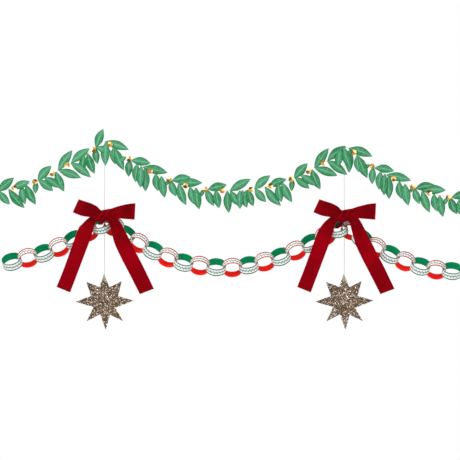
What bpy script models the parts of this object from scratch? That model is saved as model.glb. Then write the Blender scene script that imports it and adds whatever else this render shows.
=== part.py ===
"""A hanging paper chain garland: a chain of rolled paper links with two velvet bows, under a strand of
cut-paper leaves, with two glitter stars on threads. Metres, +Z up, the viewer at -Y.
The origin is where the leaf cord bends over its left hook."""
import math

import bmesh
import bpy
from mathutils import Matrix, Vector

# Paper links: a strip is rolled on a slightly oval former and its end is glued over its start
STRIP_WIDTH = 0.0224
PAPER = 0.00035
LINK_ALONG = 0.0255     # inner half length, along the chain
LINK_ACROSS = 0.0237    # inner half width, across the chain
LINK_SIDES = 24
LAP_START = math.radians(52)
LAP_END = math.radians(84)

# The chain's links from the left end, in millimetres right and up. Each follows the line between its neighbours,
# and the top of a green link leans to the viewer and that of a red link away, nearly square to each other
CHAIN_DEPTH = -0.027
LINK_PLACES = ((-240, -314), (-199, -304), (-158, -292), (-118, -276), (-79, -257), (-42, -236), (-9, -219),
               (24, -222), (55, -244), (89, -265), (127, -285), (166, -303), (206, -316), (248, -324),
               (291, -328), (333, -329), (375, -323), (417, -314), (458, -301), (498, -285), (537, -266),
               (575, -246), (608, -229), (641, -232), (670, -254), (706, -276), (744, -295), (782, -313),
               (822, -326), (863, -335), (904, -338))
LINK_LEAN = {"green": math.radians(38), "red": math.radians(-50)}

# Velvet ribbon bows, both alike, one under each peak of the leaf strand
RIBBON = 0.0014
BOW_PITCH = 0.6245
KNOT = Vector((0.0060, -0.0600, -0.1920))
KNOT_SIZE = (0.052, 0.013, 0.030)

# Stars on threads
STAR_CENTRE = -0.4175
STAR_ASIDE = 0.0008
# The cut outline, anticlockwise from the left point's notch: degrees, and millimetres from the middle
STAR_OUTLINE = ((-153.0, 32.2), (-132.7, 69.0), (-110.3, 35.3), (-88.3, 72.5), (-69.3, 36.6), (-47.2, 69.0),
                (-32.0, 31.5), (1.9, 74.5), (22.4, 36.5), (50.0, 68.0), (72.0, 38.5), (91.7, 72.5),
                (110.6, 39.4), (133.5, 70.0), (158.5, 37.9), (180.5, 75.8))
STAR_CARD = 0.0030
THREAD = 0.0008

# The leaf strand
CORD = 0.0012
CORD_ROUTE = ((-290, -133), (-282, -132), (-236, -122), (-182, -106), (-137, -85), (-97, -62), (-58, -40),
              (-29, -22), (-10, -5), (0, -1), (10, -5), (30, -21), (63, -46), (119, -78), (168, -100),
              (211, -116), (262, -125), (307, -129), (345, -129), (382, -126), (433, -116), (485, -100),
              (531, -79), (570, -57), (605, -33), (618, -19), (627, -16), (637, -19), (660, -38), (698, -66),
              (753, -98), (802, -120), (846, -135), (897, -146), (933, -151), (941, -152))
END_LOOP = 0.0060
LEAF = 0.0006
LEAF_OUTLINE = ((0.16, 0.66), (0.42, 1.0), (0.76, 0.62))
LEAF_TAB = 0.0024
LEAF_GAP = 0.0005
GLUE_DEPTH = -0.0012
GLUE_WIDTH = 0.0020
GLUE_END = 1.5
LAYER_STEP = 0.00095
DISC_RADIUS = 0.0070
DISC = 0.0020
DISC_POST = 0.0012
WELD = 0.00002

# A sprig is (its discs' places, its leaves), and a leaf is (place along the strand, direction in degrees,
# length), in millimetres from its pattern's start
RISE = (
    ((0,), ((-4, 22, 47), (-14, -50, 62), (20, -80, 47), (30, -63, 56))),
    ((54,), ((58, -95, 31), (62, 48, 50), (64, -37, 45), (79, -34, 46))),
    ((99,), ((108, -67, 54), (115, 55, 62), (116, -19, 60))),
    ((138,), ((149, 38, 59), (148, -36, 62), (183, -99, 46), (191, -71, 54))),
)
FALL = (
    ((0,), ((-10, -92, 60), (-13, -19, 63), (9, -85, 43), (12, -68, 60), (42, -149, 26))),
    ((48,), ((51, -94, 43), (55, -9, 49), (70, -95, 46), (81, -92, 54))),
    ((104,), ((91, -89, 58), (85, -13, 64), (118, -82, 44), (133, -81, 55))),
    ((153,), ((157, -71, 43), (161, 11, 48), (154, -120, 16))),
    ((196,), ((177, 1, 61), (178, -71, 58), (208, -78, 45), (223, -81, 55))),
    ((247,), ((245, -115, 21), (250, -66, 46), (255, 14, 48), (275, -80, 46))),
)
LEFT_PEAK = ((-44,), ((-37, 69, 50), (-38, -83, 30), (-37, -18, 41)))
TROUGH = (
    ((292,), ((305, -86, 56), (312, 30, 60), (313, -57, 46), (338, -90, 46), (344, -75, 45))),
    ((367,), ((361, -123, 22), (358, -71, 43), (376, 41, 52), (377, -50, 43))),
)
START_LEAVES = ((-42, 41, 53), (-40, -50, 43))
RISE_STARTS = (-0.2355, 0.4322)
FALL_STARTS = (0.0148, 0.6492)


def clear_scene():
    for old in list(bpy.data.objects):
        bpy.data.objects.remove(old)


def collection(name):
    made = bpy.data.collections.new(name)
    bpy.context.scene.collection.children.link(made)
    return made


def material(name, colour, roughness, metallic=0.0):
    made = bpy.data.materials.new(name)
    made.use_nodes = True
    shader = made.node_tree.nodes["Principled BSDF"]
    shader.inputs["Base Color"].default_value = (*colour, 1.0)
    shader.inputs["Roughness"].default_value = roughness
    shader.inputs["Metallic"].default_value = metallic
    return made


def place(name, data, finish, where=None):
    made = bpy.data.objects.new(name, data)
    PARTS.objects.link(made)
    if finish:
        data.materials.append(finish)
    if where:
        made.matrix_world = where
    return made


def solid_mesh(source, name):
    """The object's evaluated shape as a closed mesh in world space; the source object is removed."""
    bpy.context.view_layer.update()
    found = source.evaluated_get(bpy.context.evaluated_depsgraph_get())
    mesh = bpy.data.meshes.new_from_object(found)
    mesh.transform(source.matrix_world)
    bpy.data.objects.remove(source)
    shape = bmesh.new()
    shape.from_mesh(mesh)
    bmesh.ops.remove_doubles(shape, verts=shape.verts, dist=1e-6)
    shape.to_mesh(mesh)
    shape.free()
    mesh.name = name
    return mesh


def outer_skin(mesh):
    """Keeps the outer skin only, so that no small hollow stays sealed where leaves cross."""
    shape = bmesh.new()
    shape.from_mesh(mesh)
    bmesh.ops.remove_doubles(shape, verts=shape.verts, dist=WELD)
    bmesh.ops.dissolve_degenerate(shape, edges=shape.edges, dist=WELD)
    todo = set(shape.faces)
    islands = []
    while todo:
        island = [todo.pop()]
        for face in island:
            near = {other for edge in face.edges for other in edge.link_faces} & todo
            todo -= near
            island.extend(near)
        islands.append(island)
    islands.sort(key=len)
    for island in islands[:-1]:
        bmesh.ops.delete(shape, geom=island, context="FACES")
    shape.to_mesh(mesh)
    shape.free()


def joined(name, first, others, finish, operation="UNION"):
    """One closed body made of several overlapping solids."""
    for other in others:
        cut = first.modifiers.new("join", "BOOLEAN")
        cut.operation = operation
        cut.object = other
    mesh = solid_mesh(first, name)
    for other in others:
        bpy.data.objects.remove(other)
    outer_skin(mesh)
    mesh.materials.clear()
    return place(name, mesh, finish)


def smooth_curve(points, steps=12):
    """A Catmull-Rom curve through the points, as many close points."""
    ends = [2 * points[0] - points[1], *points, 2 * points[-1] - points[-2]]
    found = []
    for before, start, stop, after in zip(ends, ends[1:], ends[2:], ends[3:]):
        for step in range(steps):
            t = step / steps
            found.append(0.5 * (2 * start + t * (stop - before)
                                + t * t * (2 * before - 5 * start + 4 * stop - after)
                                + t ** 3 * (3 * start - before - 3 * stop + after)))
    return [*found, points[-1]]


def direction(angle):
    return Vector((math.cos(math.radians(angle)), 0, math.sin(math.radians(angle))))


def front(points, depth=0.0):
    """Points given as millimetres across and up, placed at a depth."""
    return [Vector((x * 0.001, depth, z * 0.001)) for x, z in points]


def wire(name, points, diameter, finish):
    """A round cord through the points, with flat closed ends."""
    data = bpy.data.curves.new(name, "CURVE")
    data.dimensions = "3D"
    data.bevel_depth = diameter / 2
    data.bevel_resolution = 2
    data.use_fill_caps = True
    spline = data.splines.new("POLY")
    spline.points.add(len(points) - 1)
    for point, co in zip(spline.points, points):
        point.co = (*co, 1.0)
    return place(name, data, finish)


def flat_outline(name, outlines, thickness, finish, where=None):
    """A plate cut to one or more closed outlines of (x, y), centred on its own XY plane."""
    data = bpy.data.curves.new(name, "CURVE")
    data.dimensions = "2D"
    data.fill_mode = "BOTH"
    data.extrude = thickness / 2
    for outline in outlines:
        spline = data.splines.new("POLY")
        spline.points.add(len(outline) - 1)
        for point, (x, y) in zip(spline.points, outline):
            point.co = (x, y, 0.0, 1.0)
        spline.use_cyclic_u = True
    return place(name, data, finish, where)


def strip(name, middles, halves, thickness):
    """A ribbon along a row of middle points, each with a vector to its edge, given an even thickness."""
    shape = bmesh.new()
    rows = [(shape.verts.new(middle - half), shape.verts.new(middle + half))
            for middle, half in zip(middles, halves)]
    for (low, high), (next_low, next_high) in zip(rows, rows[1:]):
        shape.faces.new((low, next_low, next_high, high))
    mesh = bpy.data.meshes.new(name)
    shape.to_mesh(mesh)
    shape.free()
    made = place(name, mesh, None)
    thick = made.modifiers.new("ribbon", "SOLIDIFY")
    thick.thickness = thickness
    thick.offset = 0.0
    return made


# Paper chain
def ring(half_x, half_y, lap=0.0):
    """An oval of points, which stands out by one more layer of paper over the glued lap."""
    turns = [math.tau * side / LINK_SIDES for side in range(LINK_SIDES)]
    if lap:
        inside = [turn for turn in turns if LAP_START < turn < LAP_END]
        layered = [(LAP_START, 0), (LAP_START, lap), *((turn, lap) for turn in inside),
                   (LAP_END, lap), (LAP_END, 0)]
        plain = [(turn, 0) for turn in turns if not LAP_START <= turn <= LAP_END]
        before = [pair for pair in plain if pair[0] < LAP_START]
        after = [pair for pair in plain if pair[0] > LAP_END]
        pairs = [*before, *layered, *after]
    else:
        pairs = [(turn, 0) for turn in turns]
    return [((half_x + out) * math.cos(turn), (half_y + out) * math.sin(turn)) for turn, out in pairs]


def paper_link(number):
    kind = "green" if number % 2 else "red"
    before, place, after = (LINK_PLACES[min(max(near, 1), len(LINK_PLACES)) - 1]
                            for near in (number - 1, number, number + 1))
    along = Vector((after[0] - before[0], 0, after[1] - before[1])).normalized()
    up = Vector((-along.z, 0, along.x))
    axis = up * math.cos(LINK_LEAN[kind]) - Vector((0, math.sin(LINK_LEAN[kind]), 0))
    back = axis.cross(along)
    where = Matrix((along, back, axis)).transposed().to_4x4()
    where.translation = (place[0] * 0.001, CHAIN_DEPTH, place[1] * 0.001)
    outlines = (ring(LINK_ALONG + PAPER, LINK_ACROSS + PAPER, PAPER), ring(LINK_ALONG, LINK_ACROSS))
    name = f"paper_link_{number:02d}_{kind}"
    flat_outline(name, outlines, STRIP_WIDTH, LINK_FINISH[kind], where)


# Velvet bows
def bow_loop(name, side, end, tilt):
    """One loop of the bow: the ribbon goes out in front, folds at its end and comes back behind."""
    out = Vector((side * math.cos(tilt), 0, math.sin(tilt)))
    edge = Vector((-out.z, 0, out.x)) * side
    front_run = ((0.004, -0.003, 0.012), (0.020, -0.0055, 0.0135), (0.034, -0.0075, 0.0165),
                 (0.052, -0.0070, 0.0185), (0.068, -0.0050, 0.0188))
    fold = ((end - 0.002, -0.0022, 0.0185), (end, 0.0, 0.0185), (end - 0.002, 0.0022, 0.0185))
    back_run = [(reach, -depth * 0.85, half) for reach, depth, half in reversed(front_run)]
    rows = [*front_run, *fold, *back_run]
    middles = [KNOT + out * reach + Vector((0, depth, 0)) for reach, depth, _ in rows]
    return strip(name, middles, [edge * half for _, _, half in rows], RIBBON)


def bow_tail(name, rows):
    """A tail that comes out from under the knot; each row is its middle and its half width, across and up."""
    middles = [KNOT + Vector((x, depth, z)) * 0.001 for x, depth, z, _, _ in rows]
    halves = [Vector((across, 0, rise)) * 0.001 for _, _, _, across, rise in rows]
    return strip(name, middles, halves, RIBBON)


LEFT_TAIL = ((-12, -1, -4, 5, -8), (-32, 0, -12, 7, -9), (-50, 2, -29, 11.5, -8), (-58, 3, -50, 15.6, -6.7),
             (-69, 4, -73, 17.9, -6.4), (-92, 4, -143, 17.9, -6.4), (-112, 3, -194, 17.8, -7.5))
RIGHT_TAIL = ((6, -1, -4, 7, 6.5), (17, 0, -15, 12.7, 5), (30, 2, -44, 14.2, 6.2), (40, 3, -68, 16.6, 7),
              (58, 4, -107, 17.4, 7.2), (78, 4, -144, 17.8, 6.6), (105, 3, -200, 18.3, 6))


def tie(name, low, aside):
    """The bunched ribbon that goes from the knot over the peak link's back wall and home through the link.
    The lower run goes aside, clear of the red link at that peak."""
    run = ((-0.058, 0.0075, 4, 7, 0), (-0.016, 0.0065, -4, 9, 0), (0.0, 0.0055, -7, 10, 0),
           (0.0034, 0.0010, -10, 8, 0.4), (0.0040, -0.0080, -12, 5, 0.8), (0.0026, low, -12, 5, 1),
           (-0.004, low - 0.0030, -12, 5, 1), (-0.020, low + 0.0020, -11, 5, 1), (-0.058, -0.0080, -4, 6, 0.5))
    middles = [Vector(((x + aside * share) * 0.001, y, KNOT.z + z)) for y, z, x, _, share in run]
    halves = [Vector((half * 0.001, 0, 0)) for _, _, _, half, _ in run]
    return strip(name, middles, halves, RIBBON * 1.4)


def bow(name, shift, tie_low, tie_aside):
    bpy.ops.mesh.primitive_cube_add(size=1, location=KNOT)
    knot = bpy.context.object
    knot.scale = [side * 1.14 for side in KNOT_SIZE]
    soft = knot.modifiers.new("soft", "SUBSURF")
    soft.levels = soft.render_levels = 2
    pieces = [
        bow_loop("loop_left", -1, 0.0800, math.radians(15.5)),
        bow_loop("loop_right", 1, 0.0745, math.radians(5.5)),
        bow_tail("tail_left", LEFT_TAIL),
        bow_tail("tail_right", RIGHT_TAIL),
        tie("tie", tie_low, tie_aside),
    ]
    knot = place("knot", solid_mesh(knot, "knot"), None)
    bow_object = joined(name, knot, pieces, VELVET)
    bpy.ops.mesh.primitive_cylinder_add(vertices=8, radius=THREAD / 2 + 0.0005, depth=0.030,
                                        location=(0, 0, KNOT.z))
    thread_way = bpy.context.object
    bow_object = joined(name, bow_object, [thread_way], VELVET, "DIFFERENCE")
    bow_object.data.transform(Matrix.Translation((shift, 0, 0)))


# Stars and their threads
def star(name, shift):
    tips = [(reach * 0.001 * math.cos(math.radians(turn)), reach * 0.001 * math.sin(math.radians(turn)))
            for turn, reach in STAR_OUTLINE]
    where = Matrix.Rotation(math.pi / 2, 4, "X")
    where.translation = (shift + STAR_ASIDE, -THREAD / 2 - 0.0004 - STAR_CARD / 2, STAR_CENTRE)
    flat_outline(name, [tips], STAR_CARD, GLITTER, where)


def star_thread(name, shift, top):
    bottom = STAR_CENTRE + 0.0400
    rows = [Vector((shift, 0, top + (bottom - top) * step / 14)) for step in range(15)]
    wire(name, rows, THREAD, THREAD_FINISH)


# Leaf strand
def cord_points():
    """The cord's route, with a small loop turned at each end."""
    route = front(CORD_ROUTE)
    turns = [math.tau * step / 12 for step in range(1, 12)]
    left = [route[0] + Vector((-math.sin(t) * END_LOOP, 0.0, (1 - math.cos(t)) * END_LOOP)) for t in turns]
    right = [route[-1] + Vector((math.sin(t) * END_LOOP, 0.0, (1 - math.cos(t)) * END_LOOP)) for t in turns]
    aside = Vector((0, CORD, 0))
    return ([point + aside * (step + 1) / 11 for step, point in reversed(list(enumerate(left)))] + route
            + [point + aside * (step + 1) / 11 for step, point in enumerate(right)])


def cord_at(x, line):
    """The cord's point at a place across the strand."""
    for start, stop in zip(line, line[1:]):
        if start.x <= x <= stop.x:
            return start.lerp(stop, (x - start.x) / (stop.x - start.x))
    return line[0] if x < line[0].x else line[-1]


def leaf_width(length):
    return min(0.34 * length + 0.0030, 0.0185)


def covers(row, spot, reach):
    return any((here - spot).length < fat + reach + LEAF_GAP for here, fat in row)


def leaf_layers(strand):
    """Each leaf's layer, counted from the cord: the lowest where it touches no leaf or root of another sprig."""
    rows = []
    for count, base, along, length in strand:
        steps = [step / 12 for step in range(1, 12)]
        rows.append([(base + along * length * step, leaf_width(length) / 2 * math.sin(math.pi * step) ** 0.6)
                     for step in steps])
    over = [{other for other, item in enumerate(strand)
             if item[0] != strand[leaf][0] and covers(rows[leaf], item[1], LEAF_TAB / 2)}
            for leaf in range(len(strand))]
    layers = {}
    for leaf in sorted(range(len(strand)), key=lambda number: len(over[number])):
        layer = 1 + max((layers.get(other, 0) for other in over[leaf]), default=0)
        while any(layer == taken and any(covers(rows[leaf], spot, fat) for spot, fat in rows[other])
                  for other, taken in layers.items()):
            layer += 1
        layers[leaf] = layer
    return [layers[leaf] for leaf in range(len(strand))]


def leaf(name, base, along, length, layer):
    """A pointed leaf cut from card, with a tab at its root that is bent back to the glue on the cord."""
    across = Vector((-along.z, 0, along.x))
    root = base + Vector((0, GLUE_DEPTH - LAYER_STEP * layer, 0))
    glued = base + Vector((0, GLUE_DEPTH, 0))
    tab = across * LEAF_TAB / 2
    sides = [(root + along * length * share, across * leaf_width(length) / 2 * fat) for share, fat in LEAF_OUTLINE]
    shape = bmesh.new()
    low, high, end_low, end_high = (shape.verts.new(point) for point in
                                    (root - tab, root + tab, glued - tab, glued + tab))
    uppers = [shape.verts.new(middle + half) for middle, half in sides]
    tip = shape.verts.new(root + along * length)
    lowers = [shape.verts.new(middle - half) for middle, half in reversed(sides)]
    shape.faces.new([high, *uppers, tip, *lowers, low])
    shape.faces.new([high, low, end_low, end_high])
    mesh = bpy.data.meshes.new(name)
    shape.to_mesh(mesh)
    shape.free()
    made = place(name, mesh, None)
    card = made.modifiers.new("card", "SOLIDIFY")
    card.thickness = LEAF
    card.offset = 0.0
    card.use_even_offset = True
    return made


def sprig(name, start, discs, leaves, line, front_y):
    """Leaves and gold discs, held together by a narrow strip of glue along the front of the cord."""
    places = [x for x, _, _, _ in leaves] + list(discs)
    low, high = min(places) - GLUE_END, max(places) + GLUE_END
    stops = [cord_at(start + (low + (high - low) * step / 8) * 0.001, line) for step in range(9)]
    glue = strip("glue", [stop + Vector((0, GLUE_DEPTH, 0)) for stop in stops],
                 [Vector((0, 0, GLUE_WIDTH / 2))] * 9, LEAF)
    pieces = [leaf("leaf", cord_at(start + x * 0.001, line), direction(angle), length * 0.001, layer)
              for x, angle, length, layer in leaves]
    for disc in discs:
        spot = cord_at(start + disc * 0.001, line)
        for radius, back, sides in ((DISC_POST, GLUE_DEPTH, 6), (DISC_RADIUS, front_y, 12)):
            bpy.ops.mesh.primitive_cylinder_add(vertices=sides, radius=radius, depth=back - front_y + DISC / 2,
                                                location=spot, rotation=(math.pi / 2, 0, 0))
            bpy.context.object.location.y = (back + front_y - DISC / 2) / 2
            pieces.append(bpy.context.object)
        pieces[-1].scale.z = 2.0
        pieces[-1].location.y = front_y - DISC / 2
    joined(name, glue, pieces, LEAF_FINISH)


clear_scene()
PARTS = collection("paper_chain_garland")
LINK_FINISH = {
    "green": material("green_border_paper", (0.86, 0.87, 0.85), 0.62),
    "red": material("red_border_paper", (0.87, 0.85, 0.85), 0.62),
}
VELVET = material("dark_red_velvet", (0.25, 0.0, 0.006), 0.9)
GLITTER = material("champagne_glitter", (0.35, 0.27, 0.18), 0.4, 0.8)
THREAD_FINISH = material("pale_thread", (0.75, 0.74, 0.70), 0.6)
CORD_FINISH = material("pale_cord", (0.70, 0.66, 0.55), 0.7)
LEAF_FINISH = material("green_leaf_paper", (0.07, 0.32, 0.14), 0.6)

for number in range(1, len(LINK_PLACES) + 1):
    paper_link(number)

bow("ribbon_bow_left", 0.0, -0.0265, 0.0)
bow("ribbon_bow_right", BOW_PITCH, -0.0355, -8.5)

CORD_LINE = cord_points()
wire("leaf_cord", CORD_LINE, CORD, CORD_FINISH)
STRAND = [point for point in CORD_LINE if CORD_ROUTE[0][0] <= point.x * 1000 <= CORD_ROUTE[-1][0]]

for label, shift in (("left", 0.0), ("right", BOW_PITCH)):
    star(f"glitter_star_{label}", shift)
    star_thread(f"star_thread_{label}", shift, cord_at(shift, STRAND).z - CORD / 2 - 0.0006)

first_rise = (RISE[0][0], START_LEAVES + RISE[0][1])
first_fall = (LEFT_PEAK[0] + FALL[0][0], LEFT_PEAK[1] + FALL[0][1])
sprigs = [(RISE_STARTS[0], *item) for item in (first_rise, *RISE[1:])]
sprigs += [(FALL_STARTS[0], *item) for item in (first_fall, *FALL[1:], *TROUGH)]
sprigs += [(RISE_STARTS[1], *item) for item in RISE]
sprigs += [(FALL_STARTS[1], *item) for item in FALL]
every_leaf = [(count, cord_at(start + x * 0.001, STRAND), direction(angle), length * 0.001)
              for count, (start, _, leaves) in enumerate(sprigs) for x, angle, length in leaves]
every_layer = leaf_layers(every_leaf)
DISC_DEPTH = GLUE_DEPTH - LAYER_STEP * (max(every_layer) + 1) + LEAF / 2
layers = iter(every_layer)
for count, (start, discs, leaves) in enumerate(sprigs, 1):
    layered = [(*leaf_row, next(layers)) for leaf_row in leaves]
    sprig(f"leaf_sprig_{count:02d}", start, discs, layered, STRAND, DISC_DEPTH)
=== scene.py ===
"""The looks of a paper chain garland: rolled paper links with velvet bows, cut-paper leaves with gold foil
discs on a cord, and glitter stars on threads. Metres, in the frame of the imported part."""
import math
import random

import bmesh
import bpy
from mathutils import Euler, Matrix, Vector, noise


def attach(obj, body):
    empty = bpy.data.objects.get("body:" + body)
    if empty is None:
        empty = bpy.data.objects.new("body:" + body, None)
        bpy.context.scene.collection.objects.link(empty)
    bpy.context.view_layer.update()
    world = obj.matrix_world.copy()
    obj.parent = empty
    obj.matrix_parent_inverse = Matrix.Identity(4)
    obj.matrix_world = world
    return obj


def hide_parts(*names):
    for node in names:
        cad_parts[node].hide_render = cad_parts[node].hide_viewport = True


MM = 0.001
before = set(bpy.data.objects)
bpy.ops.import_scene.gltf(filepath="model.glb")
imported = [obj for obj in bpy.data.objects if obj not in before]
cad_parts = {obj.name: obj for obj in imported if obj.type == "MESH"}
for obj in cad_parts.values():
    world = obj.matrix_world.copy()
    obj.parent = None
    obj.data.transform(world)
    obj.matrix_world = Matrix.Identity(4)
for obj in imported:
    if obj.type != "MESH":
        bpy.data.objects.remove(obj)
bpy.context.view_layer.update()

# The photograph's scale and middle: 460 px are 1.196 m, seen square on from far away
VIEW_WIDTH = 1.196
VIEW_MIDDLE = Vector((0.3268, -0.03, -0.2314))
VIEW_DISTANCE = 16.0
SENSOR = 36.0

# A plain white studio: the room's light on the object, two lamps and a floor
ROOM_LIGHT = 0.72
LAMPS = (("key", (-1.4, -2.4, 1.9), 0.9, 62.0), ("fill", (2.2, -2.8, 0.2), 2.0, 20.0))
FLOOR_HALF = 4.0
FLOOR_LEVEL = -1.1
FLOOR_GLOW = 0.85

# Paper links: the strip, its oval, where its end is glued over its start, and how unevenly it is rolled
STRIP_WIDTH = 0.0224
STRIP_LENGTH = 0.168
PAPER = 0.00035
LINK_ALONG = 0.0255
LINK_ACROSS = 0.0237
LAP_START = math.radians(52)
LAP = math.radians(32)
HANDMADE = 0.0009
CHAIN_DEPTH = -0.027
# Each link's middle from the left end, in millimetres right and up
LINK_PLACES = ((-240, -314), (-199, -304), (-158, -292), (-118, -276), (-79, -257), (-42, -236), (-9, -219),
               (24, -222), (55, -244), (89, -265), (127, -285), (166, -303), (206, -316), (248, -324),
               (291, -328), (333, -329), (375, -323), (417, -314), (458, -301), (498, -285), (537, -266),
               (575, -246), (608, -229), (641, -232), (670, -254), (706, -276), (744, -295), (782, -313),
               (822, -326), (863, -335), (904, -338))
# The red links, which are the even ones, lean back, and the green ones lean forward against them
LINK_LEAN = (math.radians(-50), math.radians(38))

# The print on the strips: border lines, and a vine that swings to each side with a leaflet at each swing
LINE_GAP = 0.0001
GREEN_HALF_LINE = 0.0017
RED_HALF_LINE = 0.0022
VINE_STEP = 0.008
VINE_SWINGS = (0.0004, 0.0026)
VINE_HALF = 0.0010
LEAFLET = 0.0012
LEAFLET_ASIDE = 0.0017
LEAFLET_SLANT = 0.9
LEAFLET_FLAT = 0.75

# Velvet bows
KNOT = Vector((0.0060, -0.0600, -0.1920))
BOW_PITCH = 0.6245
RIBBON = 0.0011
RIBBON_WIDTH = 0.0380
# Gathered ribbon: how deep its folds are, and how much painted shade and highlight they get, for each metre
# of width that is left over
FOLD_DEPTH = 0.12
FOLD_PAINTED_SHADE = 4.5
FOLD_DRIFT = 0.05
# How wide the painted highlight along a loop's low edge is, as a share of the ribbon's width
PAINTED_HIGHLIGHT_RIM = 0.06
# Each row: lower edge across and up, upper edge across and up, depth and stand in millimetres, and pile,
# whose brightness is partly painted light and shade along the ribbon
LEFT_LOOP = ((-6, -11, 2, 8, -3, 1, 0.12), (-20, -9.5, -13, 11, -4, 2, 0.13),
             (-39, -6.4, -24, 21.5, -7, 3, 0.13), (-61, -3.4, -39, 29.5, -8, 2.5, 0.15),
             (-74, 0.8, -56, 35.2, -6, 1, 0.17), (-85.6, 5.8, -70, 39.9, -2.6, 0, 0.26),
             (-87, 6.2, -71, 40.3, 0, 0, 0.26), (-85.6, 6.2, -70, 39.9, 2.4, 0, 0.15),
             (-74, 3, -56, 35, 5.5, -1, 0.15), (-61, -1, -39, 28, 6.5, -2, 0.15),
             (-39, -4, -24, 18, 5.5, -2, 0.15), (-20, -8, -13, 9, 3, -1, 0.15), (-6, -8, 0, 8, 2, 0, 0.15))
RIGHT_LOOP = ((-2, -9, -1, 13, -3, 1, 0.14), (14, -8.6, 12, 16, -4, 2, 0.16),
              (30, -9.0, 29, 21.6, -7, 3, 0.17), (50, -10.8, 50, 27, -8, 2.5, 0.12),
              (62, -11.8, 63, 29.2, -6, 1, 0.16), (71.6, -12.6, 73.6, 30, -2.6, 0, 0.26),
              (72.6, -12.6, 74.8, 29.9, 0, 0, 0.26), (71.6, -11.8, 72.6, 29.2, 2.4, 0, 0.15),
              (62, -11, 63, 27, 5.5, -1, 0.15), (50, -10, 50, 25, 6.5, -2, 0.15),
              (30, -8.5, 29, 18, 5.5, -2, 0.15), (14, -8, 12, 14, 3, -1, 0.15), (0, -8, 0, 10, 2, 0, 0.15))
LEFT_TAIL = ((-17, 4, -9, -12, 0, 1, 0.12), (-39.5, -4, -27.5, -20.5, 1, 2, 0.17),
             (-60.5, -21.5, -34, -38, 3, 2.5, 0.25), (-76, -44, -40.2, -58.5, 4, 2, 0.29),
             (-84.5, -67, -48, -80, 4, 1, 0.34), (-109.5, -137, -74.4, -149.8, 4, -1, 0.30),
             (-129.5, -187.3, -94, -201.5, 3, 0, 0.24))
RIGHT_TAIL = ((-6, -12, 9, 7, -9, 1, 0.10), (5.5, -20, 29.9, -9.5, -8.5, 2, 0.16),
              (14, -47, 46, -37, 0, 2.5, 0.21), (21.5, -75, 58.4, -61, 3, 2, 0.25),
              (39.5, -114, 77.6, -99.4, 4, 1, 0.38), (58.5, -150.6, 96.8, -136.5, 4, -1, 0.25),
              (86.7, -206, 123.3, -192, 3, 0, 0.21))
# The tie behind the knot: depth and up in metres, then across, half width and share of its step aside
TIE = ((-0.0580, 0.0075, 4, 7, 0), (-0.0160, 0.0065, -4, 9, 0), (0.0, 0.0055, -7, 10, 0),
       (0.0034, 0.0010, -10, 8, 0.4), (0.0040, -0.0080, -12, 5, 0.8), (0.0026, None, -12, 5, 1),
       (-0.0040, None, -10, 5, 1), (-0.0200, None, -5, 5, 0.6), (-0.0580, -0.0080, -4, 6, 0.5))
TIE_DROPS = (0.0, 0.0, 0.0060)
# The tie's pile is painted bright, as painted light where the tie lies in shade
TIE_PAINTED_LIGHT = 0.70
# Each bow's side, its way across, and how low its tie goes and how far aside
BOWS = (("left", 0.0, -0.0240, 0.0), ("right", BOW_PITCH, -0.0330, -8.5))

# The knot's half depth and half height, how low its middle is, and how its top side climbs to the right
KNOT_HALF_DEPTH = 0.0098
KNOT_HALF_HEIGHT = 0.0154
KNOT_DROP = 0.0014
KNOT_CLIMB = 0.16

# Stars and threads: the outline's corners as degrees and millimetres from the middle
STAR_CENTRE = -0.4175
STAR_ASIDE = 0.0008
STAR_OUTLINE = ((-153.0, 32.2), (-132.7, 69.0), (-110.3, 35.3), (-88.3, 72.5), (-69.3, 36.6), (-47.2, 69.0),
                (-32.0, 31.5), (1.9, 74.5), (22.4, 36.5), (50.0, 68.0), (72.0, 38.5), (91.7, 72.5),
                (110.6, 39.4), (133.5, 70.0), (158.5, 37.9), (180.5, 75.8))
STAR_CARD = 0.0026
STAR_GAP = 0.0004
# The top point has no glitter flakes, and its card is paler there
BARE_FROM = STAR_CENTRE + 0.048
BARE_WHOLE = STAR_CENTRE + 0.056
NO_FLAKES = STAR_CENTRE + 0.0570
FLAKE = 0.0012
FLAKES_PER_SQUARE_METRE = 270000.0
FLAKE_TIP = 0.45
THREAD = 0.0010
THREAD_GAP = 0.0002
THREAD_END = STAR_CENTRE + 0.0400
THREAD_POINTS = 20

# Leaf strand: the cord's route in millimetres across and up, and the loops that it hangs by
CORD = 0.0012
CORD_ROUTE = ((-290, -133), (-282, -132), (-236, -122), (-182, -106), (-137, -85), (-97, -62), (-58, -40),
              (-29, -22), (-10, -5), (0, -1), (10, -5), (30, -21), (63, -46), (119, -78), (168, -100),
              (211, -116), (262, -125), (307, -129), (345, -129), (382, -126), (433, -116), (485, -100),
              (531, -79), (570, -57), (605, -33), (618, -19), (627, -16), (637, -19), (660, -38), (698, -66),
              (753, -98), (802, -120), (846, -135), (897, -146), (933, -151), (941, -152))
END_LOOP = 0.0060
LOOP_STEPS = 12
# Leaves lie in four layers before the cord, and run past their solids' blunter tips by so many millimetres
LEAF_DEPTH = -0.0016
LEAF_LAYER = 0.0010
LEAF_LAYERS = 4
LEAF_TIP = 1.8
LEAF_CARD = 0.0003
DISC_RADIUS = 0.0070
DISC_DEPTH = -0.0072
DISC_RIM = 0.0006
DISC_CARD = 0.0008
DISC_HUB = 0.0022
# A leaf is two fifths as wide as long and a little more, up to a widest, with a fine tip
LEAF_SHARE = 0.40
LEAF_MORE = 0.0022
LEAF_WIDEST = 0.0234
LEAF_TIP_HALF = 0.00012
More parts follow.
